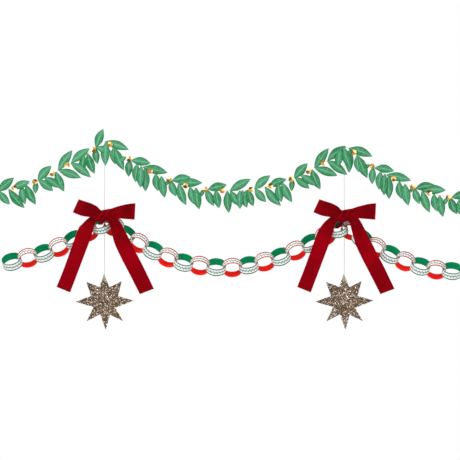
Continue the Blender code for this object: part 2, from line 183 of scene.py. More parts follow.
# Each sprig: its discs' places, and its leaves' places, angles and lengths, in millimetres and degrees
RISE = (
    ((0,), ((-4, 22, 47), (-14, -50, 62), (20, -80, 47), (30, -63, 56))),
    ((54,), ((58, -95, 31), (62, 48, 50), (64, -37, 45), (79, -34, 46))),
    ((99,), ((108, -67, 54), (115, 55, 62), (116, -19, 60))),
    ((138,), ((149, 38, 59), (148, -36, 62), (183, -99, 46), (191, -71, 54))),
)
FALL = (
    ((0,), ((-10, -92, 60), (-13, -19, 63), (9, -85, 43), (12, -68, 60), (42, -149, 26))),
    ((48,), ((51, -94, 43), (55, -9, 49), (70, -95, 46), (81, -92, 54))),
    ((104,), ((91, -89, 58), (85, -13, 64), (118, -82, 44), (133, -81, 55))),
    ((153,), ((157, -71, 43), (161, 11, 48), (154, -120, 16))),
    ((196,), ((177, 1, 61), (178, -71, 58), (208, -78, 45), (223, -81, 55))),
    ((247,), ((245, -115, 21), (250, -66, 46), (255, 14, 48), (275, -80, 46))),
)
LEFT_PEAK = ((-44,), ((-37, 69, 50), (-38, -83, 41), (-37, -18, 41)))
TROUGH = (
    ((292,), ((305, -86, 56), (312, 30, 60), (313, -57, 46), (338, -90, 46), (344, -75, 45))),
    ((367,), ((361, -123, 22), (358, -71, 43), (376, 41, 52), (377, -50, 43))),
)
START_LEAVES = ((-42, 41, 53), (-40, -50, 43))
RISE_STARTS = (-0.2355, 0.4322)
FALL_STARTS = (0.0148, 0.6492)


def colour(code):
    """A linear colour from an sRGB hex value."""
    parts = [((code >> shift) & 255) / 255 for shift in (16, 8, 0)]
    return (*(part / 12.92 if part <= 0.04045 else ((part + 0.055) / 1.055) ** 2.4 for part in parts), 1.0)


def grey(level):
    """How much of a second colour shows, as a stop of a ramp."""
    return (level, level, level, 1.0)


def repeats(size):
    """The scale of a pattern whose grains are this many millimetres apart."""
    return 1 / (size * MM)


def add(tree, kind, inputs=None, stops=(), **settings):
    """Adds a node with its settings, gives each input a value or a link, and a colour ramp its stops. A node
    as a value stands for its first output."""
    made = tree.nodes.new(kind)
    for name, value in settings.items():
        setattr(made, name, value)
    for key, value in (inputs or {}).items():
        if isinstance(value, bpy.types.Node):
            value = value.outputs[0]
        if isinstance(value, bpy.types.NodeSocket):
            tree.links.new(value, made.inputs[key])
        else:
            made.inputs[key].default_value = value
    for count, (place, shade) in enumerate(stops):
        elements = made.color_ramp.elements
        stop = elements[count] if count < 2 else elements.new(place)
        stop.position = place
        stop.color = shade
    return made


def emptied(owner):
    """The tree of nodes of a new material or world, without its first nodes."""
    owner.use_nodes = True
    owner.node_tree.nodes.clear()
    return owner.node_tree


def started(name):
    """A new material and its empty tree."""
    made = bpy.data.materials.new(name)
    return made, emptied(made)


def finished(made, values):
    """The material with its shader, whose sockets get these values and links."""
    shader = add(made.node_tree, "ShaderNodeBsdfPrincipled", values)
    add(made.node_tree, "ShaderNodeOutputMaterial", {"Surface": shader})
    return made


# Finishes
def printed_paper(name, border, half_line, inside, inside_dark):
    """Uncoated white card, offset printed: matt, with two border lines and a small vine in thin ink on the
    outside, and one flat ink on the inside."""
    made, tree = started(name)
    along, across, side = (add(tree, "ShaderNodeAttribute", attribute_name=label).outputs["Fac"]
                           for label in ("along", "across", "side"))
    where = add(tree, "ShaderNodeTexCoord").outputs["Object"]
    reach = add(tree, "ShaderNodeMath", {0: across}, operation="ABSOLUTE")
    middle = STRIP_WIDTH / 2 - LINE_GAP - half_line
    line = add(tree, "ShaderNodeMath", {0: reach, 1: middle, 2: half_line}, operation="COMPARE")
    # The vine: some of its swings go wider than others
    spot = add(tree, "ShaderNodeCombineXYZ", {"X": along})
    vigour = add(tree, "ShaderNodeTexNoise", {"Vector": spot, "Scale": repeats(7.692), "Detail": 1.0})
    amount = add(tree, "ShaderNodeMapRange", {"Value": vigour, "From Min": 0.3, "From Max": 0.7,
                                              "To Min": VINE_SWINGS[0], "To Max": VINE_SWINGS[1]})
    swing = add(tree, "ShaderNodeMath", {0: along, 1: math.tau / VINE_STEP}, operation="MULTIPLY")
    wave = add(tree, "ShaderNodeMath", {0: swing}, operation="SINE")
    stem = add(tree, "ShaderNodeMath", {0: wave, 1: amount}, operation="MULTIPLY")
    off = add(tree, "ShaderNodeMath", {0: across, 1: stem}, operation="SUBTRACT")
    vine = add(tree, "ShaderNodeMath", {0: off, 1: 0.0, 2: VINE_HALF}, operation="COMPARE")
    # Its leaflets: slanting ovals on both sides of the stem, two for each swing
    step = add(tree, "ShaderNodeMath", {0: along, 1: VINE_STEP / 2}, operation="PINGPONG")
    ahead = add(tree, "ShaderNodeMath", {0: step, 1: VINE_STEP / 4}, operation="SUBTRACT")
    slant = add(tree, "ShaderNodeMath", {0: ahead, 1: LEAFLET_SLANT, 2: off}, operation="MULTIPLY_ADD")
    far = add(tree, "ShaderNodeMath", {0: slant}, operation="ABSOLUTE")
    far = add(tree, "ShaderNodeMath", {0: far, 1: LEAFLET_ASIDE}, operation="SUBTRACT")
    far = add(tree, "ShaderNodeMath", {0: far, 1: LEAFLET_FLAT}, operation="MULTIPLY")
    spot = add(tree, "ShaderNodeCombineXYZ", {"X": ahead, "Y": far})
    length = add(tree, "ShaderNodeVectorMath", {0: spot}, operation="LENGTH").outputs["Value"]
    leaflet = add(tree, "ShaderNodeMath", {0: length, 1: LEAFLET}, operation="LESS_THAN")
    motif = add(tree, "ShaderNodeMath", {0: vine, 1: leaflet}, operation="MAXIMUM")
    # The stock has a cloudy tone, and so has the ink; its fibre is drawn coarser than it is, so that it shows
    cloud = add(tree, "ShaderNodeTexNoise", {"Vector": where, "Scale": repeats(26.32), "Detail": 2.0})
    fibre = add(tree, "ShaderNodeTexNoise", {"Vector": where, "Scale": repeats(2.381), "Detail": 3.0})
    stock = add(tree, "ShaderNodeValToRGB", {"Fac": cloud},
                ((0.3, colour(0xEEF1EE)), (0.7, colour(0xF6F8F6))))
    drawn = add(tree, "ShaderNodeMix", {0: line, 6: stock, 7: border}, data_type="RGBA").outputs[2]
    marked = add(tree, "ShaderNodeMix", {0: motif, 6: drawn, 7: colour(0x587A6E)},
                 data_type="RGBA").outputs[2]
    ink = add(tree, "ShaderNodeValToRGB", {"Fac": cloud}, ((0.3, inside_dark), (0.7, inside)))
    # The side is one outside, minus one inside and in between on the cut edges, which are bare card
    outer = add(tree, "ShaderNodeMath", {0: side, 1: 0.5}, operation="GREATER_THAN")
    inner = add(tree, "ShaderNodeMath", {0: side, 1: -0.5}, operation="LESS_THAN")
    faced = add(tree, "ShaderNodeMix", {0: outer, 6: colour(0xEDEFEC), 7: marked},
                data_type="RGBA").outputs[2]
    whole = add(tree, "ShaderNodeMix", {0: inner, 6: faced, 7: ink}, data_type="RGBA").outputs[2]
    bump = add(tree, "ShaderNodeBump", {"Height": fibre, "Strength": 0.08, "Distance": 0.0002})
    return finished(made, {"Base Color": whole, "Normal": bump, "Roughness": 0.7, "Specular IOR Level": 0.05})


def velvet(name):
    """Cut-pile viscose velvet ribbon: the red goes darker where the pile is brushed away, with painted shade
    in the folds and creases, painted highlights along rims, and painted sheen that turns it pinker where it
    is seen edge on; the ribbon has a woven edge without pile."""
    made, tree = started(name)
    across, pile_and_painted_light = (add(tree, "ShaderNodeAttribute", attribute_name=label).outputs["Fac"]
                   for label in ("across", "pile_and_painted_light"))
    where = add(tree, "ShaderNodeTexCoord").outputs["Object"]
    brushed = add(tree, "ShaderNodeTexNoise", {"Vector": where, "Scale": repeats(41.67), "Detail": 3.0,
                                               "Roughness": 0.55, "Distortion": 0.6})
    # The pile attribute holds the pile's brightness together with painted light and shade: folds, creases,
    # rims and the tie
    tone = add(tree, "ShaderNodeMath", {0: brushed, 1: 0.4, 2: pile_and_painted_light}, operation="MULTIPLY_ADD")
    base = add(tree, "ShaderNodeValToRGB", {"Fac": tone}, (
        (0.10, colour(0x480006)), (0.25, colour(0x680008)), (0.40, colour(0x84000C)),
        (0.60, colour(0x9C0010)), (0.85, colour(0xBC0838))))
    # Tufts of pile, drawn twice as coarse as the real ones
    pile = add(tree, "ShaderNodeTexNoise", {"Vector": where, "Scale": repeats(0.7692), "Detail": 2.0})
    speck = add(tree, "ShaderNodeValToRGB", {"Fac": pile},
                ((0.35, colour(0xD2D2D2)), (0.65, colour(0xFFFFFF))))
    piled = add(tree, "ShaderNodeMix", {0: 1.0, 6: base, 7: speck}, data_type="RGBA",
                blend_type="MULTIPLY").outputs[2]
    # Painted sheen: the base colour turns pinker where the surface is seen edge on
    grazing = add(tree, "ShaderNodeLayerWeight", {"Blend": 0.35}).outputs["Facing"]
    painted_sheen_share = add(tree, "ShaderNodeValToRGB", {"Fac": grazing},
               ((0.40, colour(0x000000)), (1.0, colour(0xC8C8C8))))
    with_painted_sheen = add(tree, "ShaderNodeMix", {0: painted_sheen_share, 6: piled, 7: colour(0xB40834)},
                  data_type="RGBA").outputs[2]
    # A pressed line runs just inside the woven edge
    reach = add(tree, "ShaderNodeMath", {0: across}, operation="ABSOLUTE")
    pressed = add(tree, "ShaderNodeValToRGB", {"Fac": reach}, (
        (0.86, grey(0)), (0.90, grey(0.7)), (0.94, grey(0.1)), (0.95, grey(0))))
    creased = add(tree, "ShaderNodeMix", {0: pressed, 6: with_painted_sheen, 7: colour(0x5C0008)},
                  data_type="RGBA").outputs[2]
    edge = add(tree, "ShaderNodeMath", {0: reach, 1: 0.955}, operation="GREATER_THAN")
    whole = add(tree, "ShaderNodeMix", {0: edge, 6: creased, 7: colour(0x9A081E)},
                data_type="RGBA").outputs[2]
    bump = add(tree, "ShaderNodeBump", {"Height": pile, "Strength": 0.35, "Distance": 0.0006})
    return finished(made, {"Base Color": whole, "Normal": bump, "Roughness": 0.9, "Specular IOR Level": 0.03,
                           "Sheen Weight": 0.06, "Sheen Roughness": 0.4, "Sheen Tint": colour(0xD02040)})


def glitter(name):
    """Chunky polyester glitter, cut from metallised film: each flake is champagne, rose, bronze or dark, and
    the palest and darkest tints are partly painted glints and shade.
    """
    made, tree = started(name)
    tint = add(tree, "ShaderNodeAttribute", attribute_name="tint").outputs["Fac"]
    shades = add(tree, "ShaderNodeValToRGB", {"Fac": tint}, (
        (0.0, colour(0x1E150B)), (0.14, colour(0x50300F)), (0.24, colour(0x3A3018)),
        (0.35, colour(0x70481E)), (0.44, colour(0x5C5634)), (0.53, colour(0x8C7254)),
        (0.62, colour(0x9A7C48)), (0.70, colour(0xBA9886)), (0.81, colour(0xE2C4B4)),
        (0.92, colour(0xFFF0E8))))
    shades.color_ramp.interpolation = "CONSTANT"
    return finished(made, {"Base Color": shades, "Metallic": 0.25, "Roughness": 0.3,
                           "Specular IOR Level": 0.35})


def star_card(name):
    """Brown card with a glitter print, seen between the flakes; its top point has no flakes and is paler."""
    made, tree = started(name)
    where = add(tree, "ShaderNodeTexCoord").outputs["Object"]
    cells = add(tree, "ShaderNodeTexVoronoi", {"Vector": where, "Scale": repeats(1.6129)}).outputs["Color"]
    tone = add(tree, "ShaderNodeRGBToBW", {"Color": cells})
    shade = add(tree, "ShaderNodeValToRGB", {"Fac": tone}, (
        (0.2, colour(0x2A1E12)), (0.5, colour(0x4C3A24)), (0.8, colour(0x7A6544))))
    height = add(tree, "ShaderNodeSeparateXYZ", {0: where}).outputs["Z"]
    bare = add(tree, "ShaderNodeMapRange", {"Value": height, "From Min": BARE_FROM, "From Max": BARE_WHOLE})
    whole = add(tree, "ShaderNodeMix", {0: bare, 6: shade, 7: colour(0x9E957C)}, data_type="RGBA").outputs[2]
    bump = add(tree, "ShaderNodeBump", {"Height": tone, "Strength": 0.4, "Distance": 0.0005})
    return finished(made, {"Base Color": whole, "Normal": bump, "Metallic": 0.1, "Roughness": 0.5})


def leaf_paper(name):
    """Dyed paper leaves, die cut and creased: a pale pressed midrib, streaks along the leaf, and painted
    shade on the edges.
    """
    made, tree = started(name)
    along, across, tint = (add(tree, "ShaderNodeAttribute", attribute_name=label).outputs["Fac"]
                           for label in ("along", "across", "tint"))
    where = add(tree, "ShaderNodeTexCoord").outputs["Object"]
    # Streaks about 9 mm long and 2 mm apart, other ones on each leaf
    spot = add(tree, "ShaderNodeCombineXYZ", {
        axis: add(tree, "ShaderNodeMath", {0: value, 1: stretch}, operation="MULTIPLY")
        for axis, value, stretch in (("X", along, 70.0), ("Y", across, 3.4), ("Z", tint, 40.0))})
    streak = add(tree, "ShaderNodeTexNoise", {"Vector": spot, "Scale": 1.6, "Detail": 2.0})
    body = add(tree, "ShaderNodeValToRGB", {"Fac": tint}, (
        (0.0, colour(0x1F7846)), (0.5, colour(0x34875A)), (1.0, colour(0x3F8F63))))
    pale = add(tree, "ShaderNodeValToRGB", {"Fac": streak}, ((0.50, grey(0)), (0.68, grey(0.7))))
    streaked = add(tree, "ShaderNodeMix", {0: pale, 6: body, 7: colour(0x72AC88)},
                   data_type="RGBA").outputs[2]
    reach = add(tree, "ShaderNodeMath", {0: across}, operation="ABSOLUTE")
    rib = add(tree, "ShaderNodeValToRGB", {"Fac": reach}, ((0.03, grey(0.5)), (0.20, grey(0))))
    ribbed = add(tree, "ShaderNodeMix", {0: rib, 6: streaked, 7: colour(0x8CC2A0)},
                 data_type="RGBA").outputs[2]
    # Painted shade: each leaf is darker towards its edges, where it lies against the leaves around it
    rim = add(tree, "ShaderNodeValToRGB", {"Fac": reach}, ((0.55, grey(0)), (0.93, grey(1))))
    whole = add(tree, "ShaderNodeMix", {0: rim, 6: ribbed, 7: colour(0x1C7043)}, data_type="RGBA").outputs[2]
    # The paper's grain, drawn coarser than it is, so that it shows
    grain = add(tree, "ShaderNodeTexNoise", {"Vector": where, "Scale": repeats(1.4286), "Detail": 2.0})
    bump = add(tree, "ShaderNodeBump", {"Height": grain, "Strength": 0.2, "Distance": 0.0003})
    return finished(made, {"Base Color": whole, "Normal": bump, "Roughness": 0.6, "Specular IOR Level": 0.15})


def gold_foil(name):
    """Embossed gold foil on card: each pressed facet gets a tone from dark to pale, as a painted reflection.
    """
    made, tree = started(name)
    tint = add(tree, "ShaderNodeAttribute", attribute_name="tint").outputs["Fac"]
    shade = add(tree, "ShaderNodeValToRGB", {"Fac": tint}, (
        (0.0, colour(0x5A3A08)), (0.25, colour(0x8A6420)), (0.5, colour(0xC9A24A)),
        (0.75, colour(0xE8CC82)), (1.0, colour(0xFFF3C8))))
    return finished(made, {"Base Color": shade, "Metallic": 0.6, "Roughness": 0.25})


def twisted(name, light, dark, ply):
    """Twisted cotton cord or polyester thread: matt, with fine diagonal plies this many millimetres apart."""
    made, tree = started(name)
    where = add(tree, "ShaderNodeTexCoord").outputs["Object"]
    # At a scale of one the diagonal bands lie a tenth of tau apart, in metres
    plies = add(tree, "ShaderNodeTexWave",
                {"Vector": where, "Scale": repeats(ply) * math.tau / 10, "Distortion": 0.6},
                bands_direction="DIAGONAL").outputs["Fac"]
    # The colour follows the plies, darker in the grooves between them, as painted shade
    shade = add(tree, "ShaderNodeValToRGB", {"Fac": plies}, ((0.2, dark), (0.7, light)))
    bump = add(tree, "ShaderNodeBump", {"Height": plies, "Strength": 0.4, "Distance": 0.0002})
    return finished(made, {"Base Color": shade, "Normal": bump, "Roughness": 0.8})


# Shared shapes
def smooth_curve(points, steps=12):
    """A Catmull-Rom curve through the points, as many close points."""
    ends = [2 * points[0] - points[1], *points, 2 * points[-1] - points[-2]]
    found = []
    for before, start, stop, after in zip(ends, ends[1:], ends[2:], ends[3:]):
        for step in range(steps):
            t = step / steps
            found.append(0.5 * (2 * start + t * (stop - before)
                                + t * t * (2 * before - 5 * start + 4 * stop - after)
                                + t ** 3 * (3 * start - before - 3 * stop + after)))
    return [*found, points[-1]]


def show(name, mesh, material=None):
    """A new piece with this mesh, at the origin."""
    mesh.name = name
    made = bpy.data.objects.new(name, mesh)
    bpy.context.scene.collection.objects.link(made)
    if material:
        mesh.materials.clear()
        mesh.materials.append(material)
    return made


def applied(source):
    """The object's mesh with its modifiers applied; the object itself is removed."""
    bpy.context.view_layer.update()
    found = source.evaluated_get(bpy.context.evaluated_depsgraph_get())
    mesh = bpy.data.meshes.new_from_object(found)
    bpy.data.objects.remove(source)
    return mesh


def smooth(mesh, angle):
    """Smooth shading, but for edges sharper than this many degrees."""
    mesh.shade_smooth()
    mesh.set_sharp_from_angle(angle=math.radians(angle))


def mesh_of(shape, name):
    """A shape's faces as a mesh, turned outwards."""
    bmesh.ops.recalc_face_normals(shape, faces=shape.faces)
    mesh = bpy.data.meshes.new(name)
    shape.to_mesh(mesh)
    shape.free()
    return mesh


def thickened(name, shape, thickness, angle, material):
    """A piece of thin sheet: the shape with half of the thickness put on each of its sides."""
    sheet = show(name, mesh_of(shape, name), material)
    solid = sheet.modifiers.new("thickness", "SOLIDIFY")
    solid.thickness = thickness
    solid.offset = 0.0
    mesh = applied(sheet)
    smooth(mesh, angle)
    return show(name, mesh)


def keep(piece, *nodes):
    """The piece rides on the garland's one body, and stands for these nodes."""
    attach(piece, "root")
    if nodes:
        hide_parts(*nodes)


def growth_tree(name, sockets):
    """A new tree of geometry nodes with these named inputs, and what they give."""
    tree = bpy.data.node_groups.new(name, "GeometryNodeTree")
    for label, kind, value in (("Geometry", "Geometry", None), *sockets, ("Finish", "Material", None)):
        socket = tree.interface.new_socket(label, in_out="INPUT", socket_type=f"NodeSocket{kind}")
        if value is not None:
            socket.default_value = value
    tree.interface.new_socket("Geometry", in_out="OUTPUT", socket_type="NodeSocketGeometry")
    return tree, add(tree, "NodeGroupInput").outputs


def grown(name, places, tree, material):
    """The plain mesh that a tree of nodes grows on these places."""
    carrier = show(name, places)
    growth = carrier.modifiers.new("growth", "NODES")
    growth.node_group = tree
    finish_input = next(item for item in tree.interface.items_tree if item.name == "Finish")
    growth[finish_input.identifier] = material
    return applied(carrier)


# Paper chain
def chain_places():
    """Each link's number, centre and turn: along the line between its neighbours, and leant by its kind."""
    for number, (across, height) in enumerate(LINK_PLACES, 1):
        before = LINK_PLACES[max(number - 2, 0)]
        after = LINK_PLACES[min(number, len(LINK_PLACES) - 1)]
        along = Vector((after[0] - before[0], 0, after[1] - before[1])).normalized()
        up = Vector((-along.z, 0, along.x))
        lean = LINK_LEAN[number % 2]
        axis = up * math.cos(lean) - Vector((0, math.sin(lean), 0))
        turn = Matrix((along, axis.cross(along), axis)).transposed()
        yield number, Vector((across * MM, CHAIN_DEPTH, height * MM)), turn


def rolled_links_tree():
    """Rolls a strip of paper into an oval, with its end glued over its start, and puts one at each point."""
    tree, given = growth_tree("Rolled paper links", (
        ("Half Along", "Float", LINK_ALONG), ("Half Across", "Float", LINK_ACROSS),
        ("Strip Width", "Float", STRIP_WIDTH), ("Strip Length", "Float", STRIP_LENGTH),
        ("Paper", "Float", PAPER), ("Start Angle", "Float", LAP_START), ("Lap Angle", "Float", LAP),
        ("Handmade", "Float", HANDMADE)))
    line = add(tree, "GeometryNodeCurvePrimitiveLine", {"End": (1.0, 0.0, 0.0)})
    line = add(tree, "GeometryNodeResampleCurve", {"Curve": line, "Count": 81})
    share = add(tree, "GeometryNodeSplineParameter").outputs["Factor"]
    whole = add(tree, "ShaderNodeMath", {0: given["Lap Angle"], 1: math.tau}, operation="ADD")
    angle = add(tree, "ShaderNodeMath", {0: share, 1: whole, 2: given["Start Angle"]},
                operation="MULTIPLY_ADD")
    # Where the strip's end meets its start it steps out by a little more than the paper's thickness
    lap_start = add(tree, "ShaderNodeMath", {0: math.tau, 1: whole}, operation="DIVIDE")
    before = add(tree, "ShaderNodeMath", {0: lap_start, 1: 0.04}, operation="SUBTRACT")
    lift = add(tree, "ShaderNodeMapRange", {"Value": share, "From Min": before, "From Max": lap_start,
                                            "To Max": 1.15})
    lift = add(tree, "ShaderNodeMath", {0: lift, 1: given["Paper"]}, operation="MULTIPLY")
    sides = []
    for half, operation in (("Half Along", "COSINE"), ("Half Across", "SINE")):
        reach = add(tree, "ShaderNodeMath", {0: given[half], 1: lift}, operation="ADD")
        part = add(tree, "ShaderNodeMath", {0: angle}, operation=operation)
        sides.append(add(tree, "ShaderNodeMath", {0: reach, 1: part}, operation="MULTIPLY"))
    spot = add(tree, "ShaderNodeCombineXYZ", {"X": sides[0], "Y": sides[1]})
    oval = add(tree, "GeometryNodeSetPosition", {"Geometry": line, "Position": spot})
    oval = add(tree, "GeometryNodeSetCurveNormal", {"Curve": oval}, mode="Z_UP")
    length = add(tree, "ShaderNodeMath", {0: share, 1: given["Strip Length"]}, operation="MULTIPLY")
    oval = add(tree, "GeometryNodeStoreNamedAttribute", {"Geometry": oval, "Name": "along", "Value": length})
    # The strip's cross-section knows how far across each corner is, and which face of the paper it is on
    cut = add(tree, "GeometryNodeCurvePrimitiveQuadrilateral",
              {"Width": given["Paper"], "Height": given["Strip Width"]})
    corner = add(tree, "GeometryNodeInputPosition")
    corner = add(tree, "ShaderNodeSeparateXYZ", {0: corner}).outputs
    sign = add(tree, "ShaderNodeMath", {0: corner["X"]}, operation="SIGN")
    for name, value in (("across", corner["Y"]), ("side", sign)):
        cut = add(tree, "GeometryNodeStoreNamedAttribute", {"Geometry": cut, "Name": name, "Value": value})
    strip = add(tree, "GeometryNodeCurveToMesh", {"Curve": oval, "Profile Curve": cut, "Fill Caps": True})
    turn = add(tree, "GeometryNodeInputNamedAttribute", {"Name": "turn"}, data_type="FLOAT_VECTOR")
    links = add(tree, "GeometryNodeInstanceOnPoints",
                {"Points": given["Geometry"], "Instance": strip, "Rotation": turn})
    links = add(tree, "GeometryNodeRealizeInstances", {"Geometry": links})
    # Rolled by hand: slow bends about 45 mm apart
    uneven = add(tree, "ShaderNodeTexNoise", {"Scale": repeats(45.45), "Detail": 1.0}).outputs["Color"]
    uneven = add(tree, "ShaderNodeVectorMath", {0: uneven, 1: (0.5, 0.5, 0.5)}, operation="SUBTRACT")
    uneven = add(tree, "ShaderNodeVectorMath", {0: uneven, "Scale": given["Handmade"]}, operation="SCALE")
    links = add(tree, "GeometryNodeSetPosition", {"Geometry": links, "Offset": uneven})
    links = add(tree, "GeometryNodeSetMaterial", {"Geometry": links, "Material": given["Finish"]})
    add(tree, "NodeGroupOutput", {"Geometry": links})
    return tree


def paper_links(kind, remainder, tree, paper):
    """All links of one kind, which are the odd or the even ones, as one piece."""
    rows = [row for row in chain_places() if row[0] % 2 == remainder]
    places = bpy.data.meshes.new("link places")
    places.from_pydata([centre for _, centre, _ in rows], [], [])
    turns = places.attributes.new("turn", "FLOAT_VECTOR", "POINT")
    for value, (_, _, turn) in zip(turns.data, rows):
        value.vector = turn.to_euler()
    made = grown(f"{kind}_links", places, tree, paper)
    smooth(made, 40)
    piece = show(f"paper_links_{kind}", made)
    keep(piece, *(f"paper_link_{number:02d}_{kind}" for number, _, _ in rows))


# Leaf strand
def cord_points():
    """The cord's route, with a small loop turned at each end, which steps aside by one cord's thickness."""
    route = smooth_curve([Vector((x * MM, 0, z * MM)) for x, z in CORD_ROUTE], 3)
    turns = [(math.tau * step / LOOP_STEPS, CORD * step / (LOOP_STEPS - 1)) for step in range(1, LOOP_STEPS)]
    left, right = ([end + Vector((way * END_LOOP * math.sin(turn), aside, END_LOOP * (1 - math.cos(turn))))
                    for turn, aside in turns] for end, way in ((route[0], -1), (route[-1], 1)))
    return [*reversed(left), *route, *right]


def cord_at(x, line):
    """The cord's point at a place across the strand."""
    for start, stop in zip(line, line[1:]):
        if start.x <= x <= stop.x:
            return start.lerp(stop, (x - start.x) / (stop.x - start.x))
    return line[0] if x < line[0].x else line[-1]


def round_cord(name, points, diameter, material):
    """A round cord through the points, as a bevelled curve."""
    data = bpy.data.curves.new(name, "CURVE")
    data.dimensions = "3D"
    data.bevel_depth = diameter / 2
    data.bevel_resolution = 3
    data.use_fill_caps = True
    spline = data.splines.new("POLY")
    spline.points.add(len(points) - 1)
    for point, co in zip(spline.points, points):
        point.co = (*co, 1.0)
    data.materials.append(material)
    made = bpy.data.objects.new(name, data)
    bpy.context.scene.collection.objects.link(made)
    return made


def add_leaf(shape, layers, base, angle, length, depth, dice):
    """One creased leaf, cut with a fuller side that faces up the strand or down from it."""
    along_layer, across_layer, tint_layer = layers
    rows, wide = 12, 3
    along = Vector((math.cos(math.radians(angle)), 0, math.sin(math.radians(angle))))
    across = Vector((-along.z, 0, along.x))
    width = min(LEAF_SHARE * length + LEAF_MORE, LEAF_WIDEST) * dice.uniform(0.95, 1.06)
    # How far it curls forward, how deep its crease is, how it twists and how far its middle swings aside
    bow = length * dice.uniform(0.01, 0.035)
    fold = dice.uniform(0.06, 0.22)
    twist = dice.uniform(-0.22, 0.22)
    bulge = (1 if angle > -40 else -1) * dice.uniform(0.01, 0.045) * length
    tint = dice.random()
    grid = []
    for row in range(rows + 1):
        t = row / rows
        # The outline: widest near the middle, with a narrow foot
        swell = math.sin(math.pi * (0.04 + 0.955 * t)) ** (1.04 - 0.14 * t)
        half = max(width / 2 * swell, LEAF_TIP_HALF)
        middle = base + along * length * t + across * bulge * math.sin(math.pi * t)
        middle.y = depth - bow * math.sin(math.pi * t) + 0.0008 * t
        line = []
        for column in range(-wide, wide + 1):
            v = column / wide
            lean = across * math.cos(twist * t) + Vector((0, math.sin(twist * t), 0))
            point = middle + lean * half * v + Vector((0, abs(v) * half * fold, 0))
            vert = shape.verts.new(point)
            vert[along_layer] = length * t
            vert[across_layer] = v
            vert[tint_layer] = tint
            line.append(vert)
        grid.append(line)
    for low, high in zip(grid, grid[1:]):
        for column in range(2 * wide):
            shape.faces.new((low[column], low[column + 1], high[column + 1], high[column]))


def leaf_sprig(name, node, start, leaves, line, paper, dice):
    """One sprig: leaves glued on the cord in layers, which stand for one node."""
    shape = bmesh.new()
    layers = [shape.verts.layers.float.new(label) for label in ("along", "across", "tint")]
    for count, (x, angle, length) in enumerate(leaves):
        base = cord_at(start + x * MM, line)
        depth = LEAF_DEPTH - LEAF_LAYER * (count % LEAF_LAYERS)
        add_leaf(shape, layers, base, angle, (length + LEAF_TIP) * MM, depth, dice)
    piece = thickened(name, shape, LEAF_CARD, 50, paper)
    keep(piece, node)


def foil_discs(spots, foil, dice):
    """Gold discs, each creased along two lines into three facets, painted dark, gold and pale as painted
    reflections.
    """
    shape = bmesh.new()
    tint_layer = shape.faces.layers.float.new("tint")
    sides = 28
    for spot in spots:
        turn = dice.uniform(0, math.tau)
        first = dice.randint(8, 11)
        second = first + dice.randint(9, 12)
        # Painted reflections: each disc's facets get a dark, a gold and a pale tone, and its edge and back
        # fixed tones
        painted_reflection_tones = (dice.choice((0.0, 0.12, 0.30)), dice.choice((0.40, 0.50)), dice.choice((0.75, 1.0)))
        angles = [turn + math.tau * side / sides for side in range(sides)]
        rim = [spot + Vector((DISC_RADIUS * math.cos(angle), DISC_RIM, DISC_RADIUS * math.sin(angle)))
               for angle in angles]
        front_rim = [shape.verts.new(point) for point in rim]
        back_rim = [shape.verts.new(point + Vector((0, DISC_CARD, 0))) for point in rim]
        # The facets meet at a hub that isn't quite in the middle
        hub_across = dice.uniform(-DISC_HUB, DISC_HUB)
        hub_up = dice.uniform(-DISC_HUB, DISC_HUB)
        hub = shape.verts.new(spot + Vector((hub_across, -DISC_CARD, hub_up)))
        for side in range(sides):
            after = (side + 1) % sides
            face = shape.faces.new((front_rim[side], front_rim[after], hub))
            face[tint_layer] = painted_reflection_tones[(side >= first) + (side >= second)]
            wall = shape.faces.new((front_rim[after], front_rim[side], back_rim[side], back_rim[after]))
            wall[tint_layer] = 0.3
        back = shape.faces.new(back_rim)
        back[tint_layer] = 0.5
    piece = show("gold_foil_discs", mesh_of(shape, "gold_foil_discs"), foil)
    keep(piece)


# Velvet bows
def ribbon_run(shape, layers, rows, rim=0.0, folds=2.5, columns=24):
    """One run of ribbon; a row is its low edge, its high edge, how far its middle stands out and how bright
    its pile is, with a painted highlight along the low edge. Where the run is narrower than the ribbon, what
    is left over lies in soft folds, painted darker and brighter across them as painted shade and highlight."""
    across_layer, pile_and_painted_light_layer = layers
    grid = []
    for count, (low, high, stand, pile_and_painted_light) in enumerate(rows):
        spare = max(RIBBON_WIDTH - (high - low).length, 0.0)
        line = []
        for column in range(columns + 1):
            v = column / columns
            pleat = math.sin(math.tau * folds * v + FOLD_DRIFT * count) * math.sin(math.pi * v) ** 0.5
            out = stand * (1 - (2 * v - 1) ** 2) + FOLD_DEPTH * spare * pleat
            vert = shape.verts.new(low.lerp(high, v) - Vector((0, out, 0)))
            vert[across_layer] = 2 * v - 1
            # The pile brightness gets painted shade and highlight across the folds, and a painted highlight
            # along the low edge
            vert[pile_and_painted_light_layer] = pile_and_painted_light + FOLD_PAINTED_SHADE * spare * pleat + rim * math.exp(-(v / PAINTED_HIGHLIGHT_RIM) ** 2)
            line.append(vert)
        grid.append(line)
    for low_row, high_row in zip(grid, grid[1:]):
        for column in range(columns):
            shape.faces.new((low_row[column], low_row[column + 1], high_row[column + 1], high_row[column]))


def stations(table, shift):
    """Close rows of a ribbon from a few, which are in millimetres off the knot."""
    lows = [KNOT + Vector((row[0] * MM + shift, row[4] * MM, row[1] * MM)) for row in table]
    highs = [KNOT + Vector((row[2] * MM + shift, row[4] * MM, row[3] * MM)) for row in table]
    rest = [Vector((row[5] * MM, row[6], 0)) for row in table]
    curves = (smooth_curve(points, 6) for points in (lows, highs, rest))
    return [(low, high, more.x, more.y) for low, high, more in zip(*curves)]


def tie_rows(shift, low, aside):
    """The ribbon that goes from the knot over the peak link's back wall and home through the link."""
    drops = iter(TIE_DROPS)
    rows = [(y, low + next(drops) if z is None else z, (x + aside * share) * MM + shift, half * MM)
            for y, z, x, half, share in TIE]
    lefts = smooth_curve([Vector((x - half, y, KNOT.z + z)) for y, z, x, half in rows], 6)
    rights = smooth_curve([Vector((x + half, y, KNOT.z + z)) for y, z, x, half in rows], 6)
    return [(left, right, 0.0, TIE_PAINTED_LIGHT) for left, right in zip(lefts, rights)]


